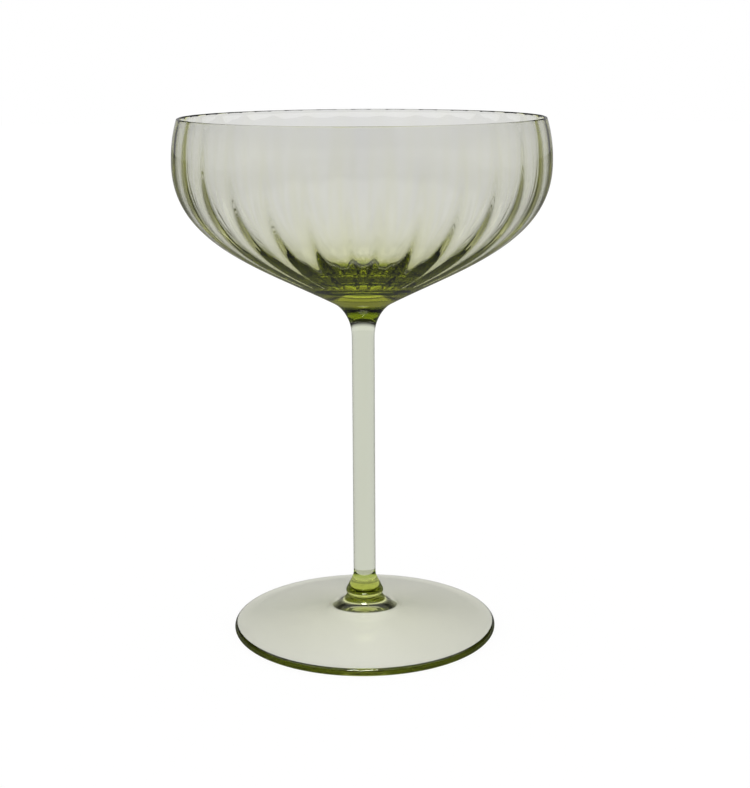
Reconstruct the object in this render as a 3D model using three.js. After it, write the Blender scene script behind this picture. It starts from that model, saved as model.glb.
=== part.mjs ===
// Champagne coupe in green glass: a shallow bowl, ribbed on its inside, on a slim stem and a round foot.
// It stands on the XY plane with its axis on Z and its front towards -Y. Lengths are in
// millimetres and angles in degrees. Five gathers of hot glass are sealed end to end on flat faces:
// foot, foot_knop, stem, bowl_button and bowl, each turned about the axis.
import * as THREE from 'three';

// Foot: a thin cone that stands on a ground ring near its edge. A skirt rises in its middle to a neck,
// and its underside is a shallow hollow cone that ends in a low dome.
const FOOT_DIAMETER = 80;
const FOOT_EDGE_THICKNESS = 2.4;
const FOOT_RING_WIDTH = 1.5;
const FOOT_HOLLOW_ANGLE = 7.3;
const FOOT_DOME_DIAMETER = 24;
const FOOT_DOME_HEIGHT = 5.2;
const SKIRT_DIAMETER = 21.2;
const SKIRT_BASE_HEIGHT = 6.9;
const SKIRT_EDGE_ANGLE = 8;
const NECK_DIAMETER = 10.6;
const NECK_HEIGHT = 10.8;
const NECK_ANGLE = 72;

// Knop: a bead between foot and stem that bulges a little over the neck of the foot.
const KNOP_DIAMETER = 11.4;
const KNOP_HEIGHT = 2.6;
const KNOP_BULGE_HEIGHT = 0.9;
const KNOP_UNDER_ANGLE = 40;

// Stem: a drawn rod with a short flare at each end. Its ends set the faces of knop and button.
const STEM_DIAMETER = 6.7;
const STEM_LENGTH = 82.6;
const STEM_FOOT_DIAMETER = 10;
const STEM_FOOT_FLARE = 4.3;
const STEM_FOOT_ANGLE = 66;
const STEM_HEAD_DIAMETER = 8.7;
const STEM_HEAD_FLARE = 6.5;
const STEM_HEAD_ANGLE = 66;

// Button: the gather between stem and bowl. Its upper face is the bowl's seat.
const BUTTON_HEIGHT = 4.9;
const BUTTON_DIAMETER = 16.7;
const BUTTON_HEAD_ANGLE = 30;

// Bowl: a straight flank that rounds into the belly and leans in again to the lip. The wall is thin
// at the belly, and inside it ends in a shallow dish over a thick bottom.
const BOWL_HEIGHT = 54.1;
const BELLY_DIAMETER = 109.4;
const BELLY_HEIGHT = 41.1;
const BOWL_FLANK_ANGLE = 28;
const LIP_DIAMETER = 105.8;
const LIP_THICKNESS = 0.8;
const LIP_LEAN_ANGLE = 18;
const BELLY_WALL = 1;
const BASE_THICKNESS = 8;
const DISH_DIAMETER = 40;
const DISH_EDGE_HEIGHT = 9.5;
const DISH_EDGE_ANGLE = 22;
const DISH_REACH = 11;
const FLANK_REACH = 25.4;
const BELLY_REACH = 22;
const BELLY_INSIDE_REACH = 21.3;

// Ribs: low ridges on the inside of the bowl, highest just above its bottom.
const RIB_COUNT = 30;
const RIB_HEIGHT = 0.8;
const RIB_LIP_HEIGHT = 0.16;
const RIB_FADE_IN = 4;
const RIB_SHARPNESS = 2;
const RIB_START_ANGLE = 6.3;

// Facets round each piece, and steps along each curve of a profile.
const FOOT_FACETS = 72;
const ROD_FACETS = 40;
const FACETS_PER_RIB = 4;
const FLARE_STEPS = 5;
const EDGE_STEPS = 4;
const CROWN_STEPS = 4;
const DISH_STEPS = 5;
const FLANK_STEPS = 9;
const WALL_STEPS = 3;

// Heights of the sealed faces, stacked from the table up.
const KNOP_BASE = NECK_HEIGHT;
const STEM_BASE = KNOP_BASE + KNOP_HEIGHT;
const BUTTON_BASE = STEM_BASE + STEM_LENGTH;
const BOWL_BASE = BUTTON_BASE + BUTTON_HEIGHT;

const at = (radius, height) => new THREE.Vector2(radius, height);

function along(degrees, length) {
  const angle = THREE.MathUtils.degToRad(degrees);
  return new THREE.Vector2(Math.cos(angle), Math.sin(angle)).multiplyScalar(length);
}

// A cubic between two profile points that leaves and arrives at given angles above the radius.
// The handles are a third of the chord unless their reach is given.
function sweep(from, fromAngle, to, toAngle, steps, fromReach, toReach) {
  const third = from.distanceTo(to) / 3;
  const leaving = from.clone().add(along(fromAngle, fromReach ?? third));
  const arriving = to.clone().sub(along(toAngle, toReach ?? third));
  return new THREE.CubicBezierCurve(from, leaving, arriving, to).getPoints(steps);
}

function roundEdge(centre, radius, fromAngle, toAngle) {
  const start = THREE.MathUtils.degToRad(fromAngle);
  const end = THREE.MathUtils.degToRad(toAngle);
  const arc = new THREE.EllipseCurve(centre.x, centre.y, radius, radius, start, end);
  return arc.getPoints(EDGE_STEPS);
}

// Joins stretches of a profile and drops the point that two neighbours share.
function profileOf(...stretches) {
  const points = stretches.flat();
  return points.filter((point, i) => i === 0 || point.distanceTo(points[i - 1]) > 1e-6);
}

function turned(profile, facets) {
  return new THREE.LatheGeometry(profile, facets).rotateX(Math.PI / 2);
}

function glassMesh(name, geometry, colour) {
  const material = new THREE.MeshStandardMaterial({
    color: colour, roughness: 0.05, metalness: 0, transparent: true, opacity: 0.4,
  });
  const mesh = new THREE.Mesh(geometry, material);
  mesh.name = name;
  return mesh;
}

function foot() {
  const edgeRadius = FOOT_EDGE_THICKNESS / 2;
  const edge = at(FOOT_DIAMETER / 2 - edgeRadius, edgeRadius);
  const ringInside = at(edge.x - FOOT_RING_WIDTH, 0);
  const coneWidth = ringInside.x - FOOT_DOME_DIAMETER / 2;
  const domeEdge = at(FOOT_DOME_DIAMETER / 2,
    coneWidth * Math.tan(THREE.MathUtils.degToRad(FOOT_HOLLOW_ANGLE)));
  const skirtEdge = at(SKIRT_DIAMETER / 2, SKIRT_BASE_HEIGHT);
  const profile = profileOf(
    sweep(at(0, FOOT_DOME_HEIGHT), 0, domeEdge, -FOOT_HOLLOW_ANGLE, CROWN_STEPS),
    [ringInside],
    roundEdge(edge, edgeRadius, -90, 90),
    sweep(skirtEdge, 180 - SKIRT_EDGE_ANGLE, at(NECK_DIAMETER / 2, KNOP_BASE), 180 - NECK_ANGLE,
      FLARE_STEPS),
    [at(0, KNOP_BASE)],
  );
  return glassMesh('foot', turned(profile, FOOT_FACETS), 0xccd0bd);
}

function footKnop() {
  const bulge = at(KNOP_DIAMETER / 2, KNOP_BASE + KNOP_BULGE_HEIGHT);
  const profile = profileOf(
    [at(0, KNOP_BASE)],
    sweep(at(NECK_DIAMETER / 2, KNOP_BASE), KNOP_UNDER_ANGLE, bulge, 90, FLARE_STEPS),
    sweep(bulge, 90, at(STEM_FOOT_DIAMETER / 2, STEM_BASE), 180 - STEM_FOOT_ANGLE, FLARE_STEPS),
    [at(0, STEM_BASE)],
  );
  return glassMesh('foot_knop', turned(profile, ROD_FACETS), 0x7d8a2a);
}

function stem() {
  const rod = STEM_DIAMETER / 2;
  const profile = profileOf(
    [at(0, STEM_BASE)],
    sweep(at(STEM_FOOT_DIAMETER / 2, STEM_BASE), 180 - STEM_FOOT_ANGLE,
      at(rod, STEM_BASE + STEM_FOOT_FLARE), 90, FLARE_STEPS),
    sweep(at(rod, BUTTON_BASE - STEM_HEAD_FLARE), 90,
      at(STEM_HEAD_DIAMETER / 2, BUTTON_BASE), STEM_HEAD_ANGLE, FLARE_STEPS),
    [at(0, BUTTON_BASE)],
  );
  return glassMesh('stem', turned(profile, ROD_FACETS), 0xccd0be);
}

function bowlButton() {
  const profile = profileOf(
    [at(0, BUTTON_BASE)],
    sweep(at(STEM_HEAD_DIAMETER / 2, BUTTON_BASE), STEM_HEAD_ANGLE,
      at(BUTTON_DIAMETER / 2, BOWL_BASE), BUTTON_HEAD_ANGLE, FLARE_STEPS),
    [at(0, BOWL_BASE)],
  );
  return glassMesh('bowl_button', turned(profile, ROD_FACETS), 0x5a6a12);
}

// Height of a rib above the inside of the bowl: none at the bottom, full a little above it, and
// falling from there to the lip.
function ribHeight(height) {
  const bottom = BOWL_BASE + BASE_THICKNESS;
  const full = bottom + RIB_FADE_IN;
  const rise = THREE.MathUtils.smoothstep(height, bottom, full);
  const towardsLip = THREE.MathUtils.smoothstep(height, full, BOWL_BASE + BOWL_HEIGHT);
  return rise * THREE.MathUtils.lerp(RIB_HEIGHT, RIB_LIP_HEIGHT, towardsLip);
}

function bowl() {
  const lipRadius = LIP_THICKNESS / 2;
  const lip = at(LIP_DIAMETER / 2 - lipRadius, BOWL_BASE + BOWL_HEIGHT - lipRadius);
  const lipOutside = lip.clone().add(along(LIP_LEAN_ANGLE, lipRadius));
  const lipInside = lip.clone().sub(along(LIP_LEAN_ANGLE, lipRadius));
  const seatEdge = at(BUTTON_DIAMETER / 2, BOWL_BASE);
  const belly = at(BELLY_DIAMETER / 2, BOWL_BASE + BELLY_HEIGHT);
  const bellyInside = at(belly.x - BELLY_WALL, belly.y);
  const dishEdge = at(DISH_DIAMETER / 2, BOWL_BASE + DISH_EDGE_HEIGHT);
  const outside = profileOf(
    sweep(seatEdge, BOWL_FLANK_ANGLE, belly, 90, FLANK_STEPS, FLANK_REACH, BELLY_REACH),
    sweep(belly, 90, lipOutside, 90 + LIP_LEAN_ANGLE, WALL_STEPS),
  );
  const inside = profileOf(
    roundEdge(lip, lipRadius, LIP_LEAN_ANGLE, LIP_LEAN_ANGLE + 180).slice(1),
    sweep(lipInside, LIP_LEAN_ANGLE - 90, bellyInside, -90, WALL_STEPS),
    sweep(bellyInside, -90, dishEdge, 180 + DISH_EDGE_ANGLE, FLANK_STEPS, BELLY_INSIDE_REACH, DISH_REACH),
    sweep(dishEdge, 180 + DISH_EDGE_ANGLE, at(0, BOWL_BASE + BASE_THICKNESS), 180, DISH_STEPS),
  );
  const profile = [at(0, BOWL_BASE), ...outside, ...inside];
  const firstInside = profile.length - inside.length;
  const facets = RIB_COUNT * FACETS_PER_RIB;
  const geometry = new THREE.LatheGeometry(profile, facets);
  const vertices = geometry.attributes.position;
  for (let facet = 0; facet <= facets; facet += 1) {
    const turn = 2 * Math.PI * (facet % facets) / facets;
    const ridge = Math.pow((1 + Math.cos(RIB_COUNT * turn)) / 2, RIB_SHARPNESS);
    inside.forEach((point, i) => {
      const vertex = facet * profile.length + firstInside + i;
      const radius = point.x - ridge * ribHeight(point.y);
      vertices.setX(vertex, radius * Math.sin(turn));
      vertices.setZ(vertex, radius * Math.cos(turn));
    });
  }
  geometry.rotateX(Math.PI / 2).rotateZ(THREE.MathUtils.degToRad(RIB_START_ANGLE));
  return glassMesh('bowl', geometry, 0xcfd0ca);
}

const glass = new THREE.Group();
glass.add(foot(), footKnop(), stem(), bowlButton(), bowl());

export default glass;
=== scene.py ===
import math

import bpy
from mathutils import Matrix, Vector
from mathutils.geometry import interpolate_bezier


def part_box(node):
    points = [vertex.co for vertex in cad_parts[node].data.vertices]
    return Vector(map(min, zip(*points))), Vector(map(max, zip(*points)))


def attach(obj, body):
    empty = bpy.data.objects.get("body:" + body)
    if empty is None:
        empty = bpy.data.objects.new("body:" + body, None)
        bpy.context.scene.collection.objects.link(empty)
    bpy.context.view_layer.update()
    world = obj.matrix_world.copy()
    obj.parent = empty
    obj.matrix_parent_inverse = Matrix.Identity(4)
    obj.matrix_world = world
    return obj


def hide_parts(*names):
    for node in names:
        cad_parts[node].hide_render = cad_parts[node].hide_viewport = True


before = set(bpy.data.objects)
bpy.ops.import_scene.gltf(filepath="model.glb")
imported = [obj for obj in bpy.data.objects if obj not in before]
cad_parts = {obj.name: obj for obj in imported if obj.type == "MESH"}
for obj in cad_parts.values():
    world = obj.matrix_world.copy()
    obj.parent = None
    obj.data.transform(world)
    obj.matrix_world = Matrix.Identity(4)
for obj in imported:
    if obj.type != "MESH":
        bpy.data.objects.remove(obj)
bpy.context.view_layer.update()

scene = bpy.context.scene
scene.view_settings.view_transform = "Standard"


# Camera: it stands in front of the glass, a little above the lip, and looks down at the stem.
# Its place was worked out from the ellipses of the lip and the foot in the photograph.
CAMERA_DISTANCE = 0.4392
CAMERA_HEIGHT = 0.1755
CAMERA_PITCH = math.radians(13.09)
CAMERA_YAW = math.radians(0.446)
CAMERA_ROLL = math.radians(-0.25)
FOCAL_PIXELS = 1508.9
PHOTO_HEIGHT_PIXELS = 788
SENSOR = 36.0

camera_data = bpy.data.cameras.new("camera")
camera_data.sensor_width = SENSOR
camera_data.lens = FOCAL_PIXELS * SENSOR / PHOTO_HEIGHT_PIXELS
camera = bpy.data.objects.new("camera", camera_data)
camera.matrix_world = (
    Matrix.Translation((0, -CAMERA_DISTANCE, CAMERA_HEIGHT))
    @ Matrix.Rotation(-CAMERA_YAW, 4, "Z")
    @ Matrix.Rotation(math.pi / 2 - CAMERA_PITCH, 4, "X")
    @ Matrix.Rotation(CAMERA_ROLL, 4, "Z")
)
scene.collection.objects.link(camera)
scene.camera = camera


# Bowl: green soda-lime glass, blown in a ribbed mould and then blown out smooth, so that the ribs
# have moved to the inside. They are strong at the bottom and fade towards the lip, as the wall thins.
# The lip is cut and fire polished round, and the thick bottom is sealed hot to the button.
MM = 0.001
BOWL_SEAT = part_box("bowl")[0].z
LIP_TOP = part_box("bowl")[1].z
SEAT_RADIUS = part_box("bowl_button")[1].x
BELLY_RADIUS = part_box("bowl")[1].x
BELLY_HEIGHT = BOWL_SEAT + 41.1 * MM
BELLY_WALL = 1.0 * MM
LIP_RADIUS = 52.9 * MM
LIP_ROUND = 0.4 * MM
LIP_LEAN = 18
FLANK_ANGLE = 28
FLANK_REACH = 25.4 * MM
BELLY_REACH = 22 * MM
INSIDE_BOTTOM = BOWL_SEAT + 8 * MM
DISH_EDGE = Vector((20 * MM, BOWL_SEAT + 9.5 * MM))
DISH_EDGE_ANGLE = 22
DISH_REACH = 11 * MM
BELLY_INSIDE_REACH = 21.3 * MM
RIB_COUNT = 30
RIB_HEIGHT = 0.8 * MM
RIB_FULL = INSIDE_BOTTOM + 4 * MM
RIB_LIP_SHARE = 0.2
RIB_SHARPNESS = 2.0
FIRST_RIB = math.radians(6.3)
FACETS_PER_RIB = 14
OUTSIDE_STEPS = 60
INSIDE_STEPS = 50
SHOULDER_STEPS = 20
CURVE_STEPS = 24
SHORT_STEPS = 12
CREASE_ANGLE = math.radians(25)
SAME_PLACE = 0.001 * MM
GLASS_IOR = 1.5

# At a seal each face stands back a little from the neighbour's, and neither of the two bends light, so
# that the pieces look fused. The faces carry the attribute "seal" for that.
SEAL_GAP = 0.01 * MM


def add(tree, kind, inputs=None, **settings):
    """Adds a node, sets its options, and fills each input with a value or a link."""
    node = tree.nodes.new(kind)
    for option, value in settings.items():
        setattr(node, option, value)
    for socket, value in (inputs or {}).items():
        if isinstance(value, bpy.types.NodeSocket):
            tree.links.new(value, node.inputs[socket])
        else:
            node.inputs[socket].default_value = value
    return node


def linear(hex_colour):
    """Turns an sRGB hex colour into the linear colour that a socket takes."""
    shares = [int(hex_colour[i:i + 2], 16) / 255 for i in (1, 3, 5)]
    return (*(s / 12.92 if s <= 0.04045 else ((s + 0.055) / 1.055) ** 2.4 for s in shares), 1.0)


def along(degrees, length):
    """A step of a length in a profile, at an angle above the radius."""
    return Vector((math.cos(math.radians(degrees)), math.sin(math.radians(degrees)))) * length


def sweep(start, start_angle, end, end_angle, steps, start_reach=None, end_reach=None):
    """A smooth stretch of a profile that leaves and arrives at given angles above the radius."""
    start, end = Vector(start), Vector(end)
    third = (end - start).length / 3
    leaving = start + along(start_angle, start_reach or third)
    arriving = end - along(end_angle, end_reach or third)
    knots = [knot.to_3d() for knot in (start, leaving, arriving, end)]
    return [point.to_2d() for point in interpolate_bezier(*knots, steps + 1)]


def round_edge(centre, radius, start_angle, end_angle, steps):
    """An arc of a profile round an edge."""
    turn = (end_angle - start_angle) / steps
    return [Vector(centre) + along(start_angle + i * turn, radius) for i in range(steps + 1)]


def smooth_step(value, low, high):
    """Rises smoothly from 0 at the low value to 1 at the high one."""
    share = min(max((value - low) / (high - low), 0), 1)
    return share * share * (3 - 2 * share)


def turning_lathe():
    """Nodes that turn a profile curve about the Z axis and raise ribs on it.
    The radius of each profile point is the share of the rib height that it gets."""
    tree = bpy.data.node_groups.new("turning_lathe", "GeometryNodeTree")
    sockets = {
        "Profile": "Geometry", "Facets": "Int", "Rib count": "Int", "Rib height": "Float",
        "Rib sharpness": "Float", "First rib": "Float", "Crease angle": "Float", "Glass": "Material",
    }
    for name, kind in sockets.items():
        tree.interface.new_socket(name, in_out="INPUT", socket_type="NodeSocket" + kind)
    tree.interface.new_socket("Piece", in_out="OUTPUT", socket_type="NodeSocketGeometry")
    given = add(tree, "NodeGroupInput").outputs

    # One sheet of quads: a row for each profile point, a column for each facet.
    points = add(tree, "GeometryNodeResampleCurve", {"Curve": given["Profile"]}, mode="EVALUATED").outputs[0]
    size = add(tree, "GeometryNodeAttributeDomainSize", {"Geometry": points}, component="CURVE").outputs
    columns = add(tree, "ShaderNodeMath", {0: given["Facets"], 1: 1.0}, operation="ADD").outputs[0]
    sheet = add(tree, "GeometryNodeMeshGrid", {"Vertices X": size["Point Count"], "Vertices Y": columns})
    index = add(tree, "GeometryNodeInputIndex").outputs[0]
    line = add(tree, "ShaderNodeMath", {0: index, 1: columns}, operation="DIVIDE").outputs[0]
    row = add(tree, "ShaderNodeMath", {0: line}, operation="FLOOR").outputs[0]
    column = add(tree, "ShaderNodeMath", {0: index, 1: columns}, operation="FLOORED_MODULO").outputs[0]
    round_share = add(tree, "ShaderNodeMath", {0: column, 1: given["Facets"]}, operation="DIVIDE").outputs[0]
    turn = add(tree, "ShaderNodeMath", {0: round_share, 1: 2 * math.pi}, operation="MULTIPLY").outputs[0]
    position = add(tree, "GeometryNodeInputPosition").outputs[0]
    radius = add(tree, "GeometryNodeInputRadius").outputs[0]
    place, share = (
        add(tree, "GeometryNodeSampleIndex",
            {"Geometry": points, "Value": value, "Index": row}, data_type=kind).outputs[0]
        for value, kind in ((position, "FLOAT_VECTOR"), (radius, "FLOAT"))
    )

    # A rib stands highest where the cosine peaks, and the power makes it narrower than the hollow.
    start = add(tree, "ShaderNodeMath", {0: turn, 1: given["First rib"]}, operation="SUBTRACT").outputs[0]
    phase = add(tree, "ShaderNodeMath", {0: start, 1: given["Rib count"]}, operation="MULTIPLY").outputs[0]
    wave = add(tree, "ShaderNodeMath", {0: phase}, operation="COSINE").outputs[0]
    swell = add(tree, "ShaderNodeMath", {0: wave, 1: 0.5, 2: 0.5}, operation="MULTIPLY_ADD").outputs[0]
    ridge = add(tree, "ShaderNodeMath", {0: swell, 1: given["Rib sharpness"]}, operation="POWER").outputs[0]
    height = add(tree, "ShaderNodeMath", {0: share, 1: given["Rib height"]}, operation="MULTIPLY").outputs[0]
    raised = add(tree, "ShaderNodeMath", {0: ridge, 1: height}, operation="MULTIPLY").outputs[0]
    apart = add(tree, "ShaderNodeSeparateXYZ", {0: place}).outputs
    forward = add(tree, "ShaderNodeMath", {0: raised, 1: apart["X"]}, operation="SUBTRACT").outputs[0]
    flat = add(tree, "ShaderNodeCombineXYZ", {"Y": forward, "Z": apart["Z"]}).outputs[0]
    turned = add(tree, "ShaderNodeVectorRotate", {"Vector": flat, "Angle": turn}, rotation_type="Z_AXIS")
    body = add(tree, "GeometryNodeSetPosition",
               {0: sheet.outputs["Mesh"], "Position": turned.outputs[0]}).outputs[0]

    # The seam and the poles close, and only the rims of the sealed faces stay sharp.
    body = add(tree, "GeometryNodeMergeByDistance", {"Geometry": body, "Distance": SAME_PLACE}).outputs[0]
    body = add(tree, "GeometryNodeFlipFaces", {"Mesh": body}).outputs[0]
    bend = add(tree, "GeometryNodeInputMeshEdgeAngle").outputs["Unsigned Angle"]
    crease = add(tree, "FunctionNodeCompare", {0: bend, 1: given["Crease angle"]}, operation="GREATER_THAN")
    body = add(tree, "GeometryNodeSetShadeSmooth", {0: body, "Shade Smooth": True}, domain="FACE").outputs[0]
    body = add(tree, "GeometryNodeSetShadeSmooth",
               {0: body, "Selection": crease.outputs[0], "Shade Smooth": False}, domain="EDGE").outputs[0]
    body = add(tree, "GeometryNodeRealizeInstances", {"Geometry": body}).outputs[0]
    body = add(tree, "GeometryNodeSetMaterial", {"Geometry": body, "Material": given["Glass"]}).outputs[0]
    add(tree, "NodeGroupOutput", {0: body})
    return tree


def turned_piece(name, profile, facets, glass, seals, rib_shares=None, **sizes):
    """Turns a profile into a closed glass mesh and marks the faces that are sealed to a neighbour."""
    curve = bpy.data.curves.new(name, "CURVE")
    curve.dimensions = "3D"
    spline = curve.splines.new("POLY")
    spline.points.add(len(profile) - 1)
    for i, (point, knot) in enumerate(zip(spline.points, profile)):
        point.co = (knot.x, 0, knot.y, 1)
        point.radius = rib_shares[i] if rib_shares else 0
    blank = bpy.data.objects.new(name + "_profile", curve)
    scene.collection.objects.link(blank)
    modifier = blank.modifiers.new("lathe", "NODES")
    modifier.node_group = LATHE
    values = {"Facets": facets, "Crease angle": CREASE_ANGLE, "Glass": glass, **sizes}
    for socket in LATHE.interface.items_tree:
        if socket.name in values:
            modifier[socket.identifier] = values[socket.name]
    mesh = bpy.data.meshes.new_from_object(blank.evaluated_get(bpy.context.evaluated_depsgraph_get()))
    bpy.data.objects.remove(blank)
    mesh.name = name
    sealed = mesh.attributes.new("seal", "FLOAT", "FACE")
    for face in mesh.polygons:
        heights = [mesh.vertices[v].co.z for v in face.vertices]
        level = all(min(abs(height - seal) for seal in seals) < SAME_PLACE for height in heights)
        sealed.data[face.index].value = 1.0 if level else 0.0
    piece = bpy.data.objects.new(name, mesh)
    scene.collection.objects.link(piece)
    return piece


def green_glass(name, tint, cord, absorbs, density, wave, depth):
    """Clear soda-lime glass, worked hot and fire polished. Iron and chrome in the melt take out blue and
    a little red, so that thin walls look grey and thick gathers olive green. The surface is a little
    wavy from the tools, and cords of slightly darker melt run through it. The wave is the length of a
    ripple along X, Y and Z, and the depth its height."""
    glass = bpy.data.materials.new(name)
    glass.use_nodes = True
    tree = glass.node_tree
    tree.nodes.clear()
    seal = add(tree, "ShaderNodeAttribute", attribute_name="seal").outputs["Fac"]
    bending = add(tree, "ShaderNodeMath", {0: seal, 1: 1 - GLASS_IOR, 2: GLASS_IOR},
                  operation="MULTIPLY_ADD").outputs[0]
    place = add(tree, "ShaderNodeTexCoord").outputs["Object"]
    per_metre = [1 / length for length in wave]
    waves = add(tree, "ShaderNodeMapping", {"Vector": place, "Scale": per_metre}).outputs[0]
    melt = add(tree, "ShaderNodeTexNoise", {"Vector": waves, "Scale": 1.0, "Detail": 1.0}).outputs[0]
    ripple = add(tree, "ShaderNodeBump", {"Height": melt, "Distance": depth, "Strength": 1.0}).outputs[0]
    # A Mix node takes its share at input 0, numbers at 2 and 3, and colours at 6 and 7.
    colour = add(tree, "ShaderNodeMix", {0: melt, 6: linear(cord), 7: linear(tint)}, data_type="RGBA")
    surface = add(tree, "ShaderNodeBsdfPrincipled", {
        "Base Color": colour.outputs[2], "Roughness": 0.0, "Transmission Weight": 1.0,
        "IOR": bending, "Normal": ripple,
    }).outputs[0]
    volume = add(tree, "ShaderNodeVolumeAbsorption",
                 {"Color": linear(absorbs), "Density": density}).outputs[0]
    add(tree, "ShaderNodeOutputMaterial", {"Surface": surface, "Volume": volume})
    return glass


LATHE = turning_lathe()
lip_centre = Vector((LIP_RADIUS - LIP_ROUND, LIP_TOP - LIP_ROUND))
belly = Vector((BELLY_RADIUS, BELLY_HEIGHT))
belly_inside = belly - Vector((BELLY_WALL, 0))
bowl_seat = Vector((0, BOWL_SEAT + SEAL_GAP))
outside = (
    sweep((SEAT_RADIUS, bowl_seat.y), FLANK_ANGLE, belly, 90, OUTSIDE_STEPS, FLANK_REACH, BELLY_REACH)
    + sweep(belly, 90, lip_centre + along(LIP_LEAN, LIP_ROUND), 90 + LIP_LEAN, SHOULDER_STEPS)[1:]
)
inside = (
    round_edge(lip_centre, LIP_ROUND, LIP_LEAN, LIP_LEAN + 180, SHORT_STEPS)[1:]
    + sweep(lip_centre - along(LIP_LEAN, LIP_ROUND), LIP_LEAN - 90, belly_inside, -90, SHOULDER_STEPS)[1:]
    + sweep(belly_inside, -90, DISH_EDGE, 180 + DISH_EDGE_ANGLE, INSIDE_STEPS,
            BELLY_INSIDE_REACH, DISH_REACH)[1:]
    + sweep(DISH_EDGE, 180 + DISH_EDGE_ANGLE, (0, INSIDE_BOTTOM), 180, CURVE_STEPS)[1:]
)
rib_shares = [0] * (1 + len(outside)) + [
    smooth_step(point.y, INSIDE_BOTTOM, RIB_FULL)
    * (1 - (1 - RIB_LIP_SHARE) * smooth_step(point.y, RIB_FULL, LIP_TOP))
    for point in inside
]
rib_sizes = {
    "Rib count": RIB_COUNT, "Rib height": RIB_HEIGHT,
    "Rib sharpness": RIB_SHARPNESS, "First rib": FIRST_RIB,
}
bowl_glass = green_glass(
    "blown_green_soda_glass", tint="#FAFAFF", cord="#F2F2FA", absorbs="#EDEF7C", density=137.5,
    wave=(12 * MM, 12 * MM, 20 * MM), depth=0.03 * MM,
)
bowl = turned_piece(
    "blown_bowl", [bowl_seat] + outside + inside, RIB_COUNT * FACETS_PER_RIB, bowl_glass,
    [bowl_seat.y], rib_shares, **rib_sizes,
)
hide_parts("bowl")
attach(bowl, "root")


# Button: the hot gather of deep green soda-lime glass that joins the bowl to the stem.
# It is thick, so it looks dark, and it is sealed by its flat ends to both.
BUTTON_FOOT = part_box("bowl_button")[0].z
STEM_HEAD_RADIUS = 4.35 * MM
STEM_HEAD_ANGLE = 66
BUTTON_HEAD_ANGLE = 30
ROD_FACETS = 128

button_glass = green_glass(
    "deep_green_soda_glass", tint="#FCFCFA", cord="#F5F5F2", absorbs="#E2E97C", density=375,
    wave=(5 * MM, 5 * MM, 4 * MM), depth=0.02 * MM,
)
button = turned_piece(
    "bowl_button_gather",
    [Vector((0, BUTTON_FOOT + SEAL_GAP))]
    + sweep((STEM_HEAD_RADIUS, BUTTON_FOOT + SEAL_GAP), STEM_HEAD_ANGLE,
            (SEAT_RADIUS, BOWL_SEAT - SEAL_GAP), BUTTON_HEAD_ANGLE, CURVE_STEPS)
    + [Vector((0, BOWL_SEAT - SEAL_GAP))],
    ROD_FACETS, button_glass, [BUTTON_FOOT + SEAL_GAP, BOWL_SEAT - SEAL_GAP],
)
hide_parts("bowl_button")
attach(button, "root")


# Stem: a rod of pale green soda-lime glass, drawn from a gather while it is soft, with a short flare
# at each end. It is sealed to the button above and to the knop below. Its ripples run lengthwise.
STEM_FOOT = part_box("stem")[0].z
STEM_RADIUS = 3.35 * MM
STEM_FOOT_RADIUS = 5.0 * MM
STEM_FOOT_FLARE = 4.3 * MM
STEM_FOOT_ANGLE = 66
STEM_HEAD_FLARE = 6.5 * MM

stem_glass = green_glass(
    "drawn_stem_glass", tint="#F1F2F1", cord="#E9EAE9", absorbs="#D1DD7C", density=50,
    wave=(4 * MM, 4 * MM, 40 * MM), depth=0.02 * MM,
)
stem = turned_piece(
    "drawn_stem",
    [Vector((0, STEM_FOOT + SEAL_GAP))]
    + sweep((STEM_FOOT_RADIUS, STEM_FOOT + SEAL_GAP), 180 - STEM_FOOT_ANGLE,
            (STEM_RADIUS, STEM_FOOT + STEM_FOOT_FLARE), 90, CURVE_STEPS)
    + sweep((STEM_RADIUS, BUTTON_FOOT - STEM_HEAD_FLARE), 90,
            (STEM_HEAD_RADIUS, BUTTON_FOOT - SEAL_GAP), STEM_HEAD_ANGLE, CURVE_STEPS)
    + [Vector((0, BUTTON_FOOT - SEAL_GAP))],
    ROD_FACETS, stem_glass, [STEM_FOOT + SEAL_GAP, BUTTON_FOOT - SEAL_GAP],
)
# Mirrored light doesn't see the stem: its image would stand in the bowl's bottom as a pale column.
stem.visible_glossy = False
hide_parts("stem")
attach(stem, "root")


# Knop: a bead of deep green soda-lime glass between the stem and the foot. It is dropped on hot, so
# its lower side bulges over the neck of the foot, and its upper side runs into the flare of the stem.
KNOP_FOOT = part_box("foot_knop")[0].z
NECK_RADIUS = 5.3 * MM
KNOP_RADIUS = 5.7 * MM
KNOP_BULGE = KNOP_FOOT + 0.9 * MM
KNOP_UNDER_ANGLE = 40

knop_glass = green_glass(
    "dropped_knop_glass", tint="#FCFCFA", cord="#F5F5F2", absorbs="#E3E87C", density=330,
    wave=(5 * MM, 5 * MM, 4 * MM), depth=0.02 * MM,
)
knop = turned_piece(
    "foot_knop_collar",
    [Vector((0, KNOP_FOOT + SEAL_GAP))]
    + sweep((NECK_RADIUS, KNOP_FOOT + SEAL_GAP), KNOP_UNDER_ANGLE,
            (KNOP_RADIUS, KNOP_BULGE), 90, SHORT_STEPS)
    + sweep((KNOP_RADIUS, KNOP_BULGE), 90,
            (STEM_FOOT_RADIUS, STEM_FOOT - SEAL_GAP), 180 - STEM_FOOT_ANGLE, CURVE_STEPS)[1:]
    + [Vector((0, STEM_FOOT - SEAL_GAP))],
    ROD_FACETS, knop_glass, [KNOP_FOOT + SEAL_GAP, STEM_FOOT - SEAL_GAP],
)
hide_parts("foot_knop")
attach(knop, "root")


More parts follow.
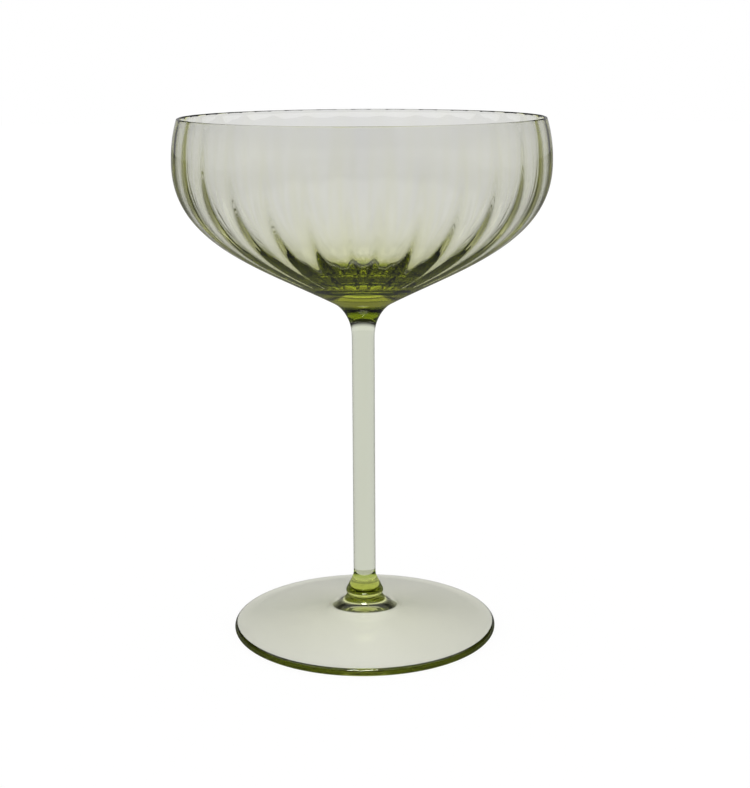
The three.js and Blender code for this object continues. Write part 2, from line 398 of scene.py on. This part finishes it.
# Foot: pale green soda-lime glass, spun out flat from a gather while hot, a little conical, with a
# rounded edge and a flared neck in the middle that is sealed to the knop. It stands on a ground ring
# near the edge and is hollow underneath.
FOOT_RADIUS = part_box("foot")[1].x
FOOT_EDGE_ROUND = 1.2 * MM
FOOT_RING_WIDTH = 1.5 * MM
HOLLOW_ANGLE = 7.3
DOME_RADIUS = 12 * MM
DOME_TOP = 5.2 * MM
SKIRT_RADIUS = 10.6 * MM
SKIRT_FOOT = 6.9 * MM
SKIRT_EDGE_ANGLE = 8
SKIRT_TOP_ANGLE = 72
FOOT_FACETS = 256

foot_glass = green_glass(
    "spun_foot_glass", tint="#FFFFFF", cord="#FAFAFA", absorbs="#E8ED7C", density=60,
    wave=(15 * MM, 15 * MM, 10 * MM), depth=0.03 * MM,
)
edge_centre = Vector((FOOT_RADIUS - FOOT_EDGE_ROUND, FOOT_EDGE_ROUND))
edge_top = edge_centre + Vector((0, FOOT_EDGE_ROUND))
skirt_edge = Vector((SKIRT_RADIUS, SKIRT_FOOT))
ring_inside = Vector((edge_centre.x - FOOT_RING_WIDTH, 0))
dome_edge = Vector((DOME_RADIUS, (ring_inside.x - DOME_RADIUS) * math.tan(math.radians(HOLLOW_ANGLE))))
foot = turned_piece(
    "spun_foot",
    sweep((0, DOME_TOP), 0, dome_edge, -HOLLOW_ANGLE, CURVE_STEPS)
    + [dome_edge.lerp(ring_inside, i / SHORT_STEPS) for i in range(1, SHORT_STEPS + 1)]
    + round_edge(edge_centre, FOOT_EDGE_ROUND, -90, 90, CURVE_STEPS)
    + [edge_top.lerp(skirt_edge, i / SHORT_STEPS) for i in range(1, SHORT_STEPS + 1)]
    + sweep(skirt_edge, 180 - SKIRT_EDGE_ANGLE,
            (NECK_RADIUS, KNOP_FOOT - SEAL_GAP), 180 - SKIRT_TOP_ANGLE, CURVE_STEPS)[1:]
    + [Vector((0, KNOP_FOOT - SEAL_GAP))],
    FOOT_FACETS, foot_glass, [KNOP_FOOT - SEAL_GAP],
)
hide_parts("foot")
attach(foot, "root")


# Floor: a white lacquered table. The camera sees it white, and a share of plain paint keeps the soft
# shadow of the foot. Through the glass it looks greyer, and as a mirror image nearly black.
TABLE_REACH = 3.0
FLOOR_DROP = 0.05 * MM
FLOOR_SEEN = 1.02
FLOOR_IN_GLASS = 0.84
FLOOR_MIRRORED = 0.03
FLOOR_GLOW_SHARE = 0.9

# Light that was turned back inside the glass finds the table at other levels, which were matched to the
# photograph: painted light close to the stem, a painted shadow of the foot under it and grey outside,
# and a painted strip of light behind the glass.
TURNED_REACH = 0.3
TURNED_NEAR = 1.0
TURNED_FAR = 0.2
PAINTED_LIGHT_AND_SHADE_LEVELS = ((0.017, 1.0), (0.025, 0.1), (0.044, 0.1), (0.056, 0.45), (0.09, 0.45), (0.12, 0.2))
STRIP_START = (0.1, 0.2)
STRIP_SIDE = (0.1, 0.25)
PAINTED_STRIP_LEVEL = 1.0

# Light Path counts whole bounces, so a count above this is at least one.
ANY_BOUNCE = 0.5

floor_mesh = bpy.data.meshes.new("floor")
sides = ((-1, -1), (1, -1), (1, 1), (-1, 1))
corners = [(x * TABLE_REACH, y * TABLE_REACH, -FLOOR_DROP) for x, y in sides]
floor_mesh.from_pydata(corners, [], [(0, 1, 2, 3)])
floor = bpy.data.objects.new("floor", floor_mesh)
scene.collection.objects.link(floor)
floor_paint = bpy.data.materials.new("white_lacquer")
floor_paint.use_nodes = True
tree = floor_paint.node_tree
tree.nodes.clear()
path = add(tree, "ShaderNodeLightPath").outputs
lacquer = add(tree, "ShaderNodeBsdfDiffuse", {"Color": linear("#F2F2F2")}).outputs[0]
spot = add(tree, "ShaderNodeNewGeometry").outputs["Position"]
away = add(tree, "ShaderNodeVectorMath", {0: spot}, operation="LENGTH").outputs["Value"]
reach = add(tree, "ShaderNodeMath", {0: away, 1: TURNED_REACH}, operation="DIVIDE").outputs[0]
# Painted light close to the stem and a painted shadow of the foot, by distance from the stem.
painted_light_and_shade = add(tree, "ShaderNodeValToRGB", {0: reach})
stops = painted_light_and_shade.color_ramp.elements
for distance, grey in PAINTED_LIGHT_AND_SHADE_LEVELS:
    stops.new(distance / TURNED_REACH).color = (grey, grey, grey, 1)
for stop, grey in ((stops[0], TURNED_NEAR), (stops[-1], TURNED_FAR)):
    stop.color = (grey, grey, grey, 1)
where = add(tree, "ShaderNodeSeparateXYZ", {0: spot}).outputs
aside = add(tree, "ShaderNodeMath", {0: where["X"]}, operation="ABSOLUTE").outputs[0]
# A painted strip of light on the table behind the glass.
painted_strip_behind, within = (
    add(tree, "ShaderNodeMapRange", {
        "Value": value, "From Min": low, "From Max": high, "To Min": at_low, "To Max": at_high,
    }).outputs[0]
    for value, (low, high), at_low, at_high in (
        (where["Y"], STRIP_START, 0.0, PAINTED_STRIP_LEVEL), (aside, STRIP_SIDE, 1.0, 0.0),
    )
)
turned = add(tree, "ShaderNodeMath", {0: painted_strip_behind, 1: within, 2: painted_light_and_shade.outputs[0]},
             operation="MULTIPLY_ADD").outputs[0]
bounced = add(tree, "ShaderNodeMath", {0: path["Glossy Depth"], 1: ANY_BOUNCE},
              operation="GREATER_THAN").outputs[0]
level = FLOOR_SEEN
for case, case_level in (
    (path["Is Transmission Ray"], FLOOR_IN_GLASS),
    (bounced, turned),
    (path["Is Reflection Ray"], FLOOR_MIRRORED),
):
    level = add(tree, "ShaderNodeMix", {0: case, 2: level, 3: case_level}).outputs[0]
glow = add(tree, "ShaderNodeEmission", {"Color": (1, 1, 1, 1), "Strength": level}).outputs[0]
share = add(tree, "ShaderNodeMix", {0: path["Is Diffuse Ray"], 2: FLOOR_GLOW_SHARE, 3: 0.0}).outputs[0]
paint = add(tree, "ShaderNodeMixShader", {0: share, 1: lacquer, 2: glow}).outputs[0]
add(tree, "ShaderNodeOutputMaterial", {"Surface": paint})
floor_mesh.materials.append(floor_paint)


# Light: a white sheet all round the table, to a little above the horizon, a dark studio above it and a
# white panel overhead. Only the glass shows these, and dimmer where its inside turned the light back.
# The camera sees white all round. Two soft lamps give the highlights on the knop and the foot.
SHEET_TOP = (math.sin(math.radians(5)), math.sin(math.radians(16)))
SHEET_IN_GLASS = 0.9
SHEET_TURNED = 0.3
STUDIO_IN_GLASS = 0.03
PANEL_EDGE = (math.sin(math.radians(37)), math.sin(math.radians(46)))
PANEL_IN_GLASS = 0.95
PANEL_TURNED = 0.7
LAMP_DISTANCE = 1.0
LAMP_AZIMUTH = math.radians(-4)

for name, elevation, width, height, power, pieces in (
    ("high_lamp", 62, 0.32, 0.3, 6.0, (knop, foot)), ("low_lamp", 16, 0.5, 0.5, 5.0, (knop,)),
):
    lit = bpy.data.collections.new(name + "_lights")
    for piece in pieces:
        lit.objects.link(piece)
    lamp_data = bpy.data.lights.new(name, "AREA")
    lamp_data.shape = "RECTANGLE"
    lamp_data.size = width
    lamp_data.size_y = height
    lamp_data.energy = power
    lamp = bpy.data.objects.new(name, lamp_data)
    lamp.matrix_world = (
        Matrix.Rotation(LAMP_AZIMUTH, 4, "Z")
        @ Matrix.Rotation(math.radians(90 - elevation), 4, "X")
        @ Matrix.Translation((0, 0, LAMP_DISTANCE))
    )
    lamp.light_linking.receiver_collection = lit
    scene.collection.objects.link(lamp)

world = bpy.data.worlds.new("studio")
scene.world = world
world.use_nodes = True
tree = world.node_tree
tree.nodes.clear()
direction = add(tree, "ShaderNodeTexCoord").outputs["Generated"]
upward = add(tree, "ShaderNodeSeparateXYZ", {0: direction}).outputs["Z"]
sheet, panel = (
    add(tree, "ShaderNodeMapRange", {
        "Value": upward, "From Min": low, "From Max": high, "To Min": at_low, "To Max": at_high,
    }).outputs[0]
    for (low, high), at_low, at_high in (
        (SHEET_TOP, 1.0, 0.0), (PANEL_EDGE, STUDIO_IN_GLASS, PANEL_IN_GLASS),
    )
)
path = add(tree, "ShaderNodeLightPath").outputs
bounced = add(tree, "ShaderNodeMath", {0: path["Glossy Depth"], 1: ANY_BOUNCE},
              operation="GREATER_THAN").outputs[0]
sheet_level, panel_level = (
    add(tree, "ShaderNodeMix", {0: bounced, 2: straight, 3: turned}).outputs[0]
    for straight, turned in ((SHEET_IN_GLASS, SHEET_TURNED), (1.0, PANEL_TURNED))
)
overhead = add(tree, "ShaderNodeMath", {0: panel, 1: panel_level}, operation="MULTIPLY").outputs[0]
studio = add(tree, "ShaderNodeMath", {0: sheet, 1: sheet_level, 2: overhead},
             operation="MULTIPLY_ADD").outputs[0]
glassy = add(tree, "ShaderNodeMath", {0: path["Is Glossy Ray"], 1: path["Is Transmission Ray"]},
             operation="MAXIMUM").outputs[0]
direct = add(tree, "ShaderNodeMath", {0: path["Diffuse Depth"], 1: ANY_BOUNCE},
             operation="LESS_THAN").outputs[0]
in_glass = add(tree, "ShaderNodeMath", {0: glassy, 1: direct}, operation="MULTIPLY").outputs[0]
seen = add(tree, "ShaderNodeMix", {0: in_glass, 2: 1.0, 3: studio}).outputs[0]
backdrop = add(tree, "ShaderNodeBackground", {"Color": (1, 1, 1, 1), "Strength": seen}).outputs[0]
add(tree, "ShaderNodeOutputWorld", {"Surface": backdrop})

# Light crosses many surfaces in the thick gathers before it leaves them.
scene.cycles.max_bounces = 32
scene.cycles.transmission_bounces = 32
scene.cycles.glossy_bounces = 16
